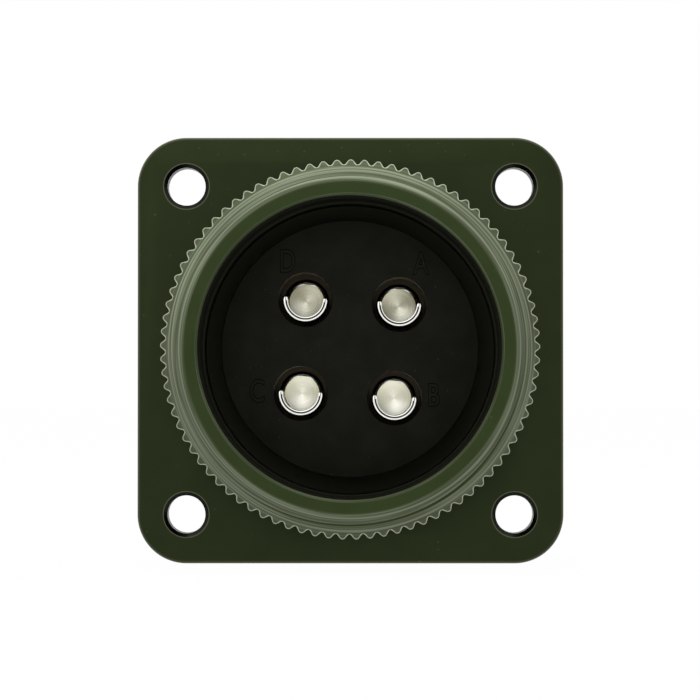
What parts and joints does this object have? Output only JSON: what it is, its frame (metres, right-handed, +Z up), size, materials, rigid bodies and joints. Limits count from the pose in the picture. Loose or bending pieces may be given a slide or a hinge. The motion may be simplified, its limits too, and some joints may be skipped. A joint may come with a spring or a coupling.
{
  "type": "wall mount receptacle",
  "caption": "Circular power receptacle with a square flange, a threaded coupling barrel, a knurled end bell, socket contacts and solder cups.",
  "frame": {"origin": "centre of the four mounting holes, on the flange's rear face", "axes": "-Y along the connector's axis towards the cable, +Z up to the coupling key at twelve o'clock"},
  "size_m": [0.0382, 0.0353, 0.0382],
  "materials": {
    "olive_shell": "satin",
    "black_insert": "satin",
    "silvered_contact": "satin",
    "spring_steel": "satin"
  },
  "bodies": {
    "root": {"coupling_shell": "olive_shell", "end_bell": "olive_shell", "front_insert": "black_insert", "rear_insert": "black_insert", "liner_sleeve": "black_insert", "wave_washer": "spring_steel", "contact_a": "silvered_contact", "contact_b": "silvered_contact", "contact_c": "silvered_contact", "contact_d": "silvered_contact", "contact_hood_a": "spring_steel", "contact_hood_b": "spring_steel", "contact_hood_c": "spring_steel", "contact_hood_d": "spring_steel"}
  },
  "joints": []
}
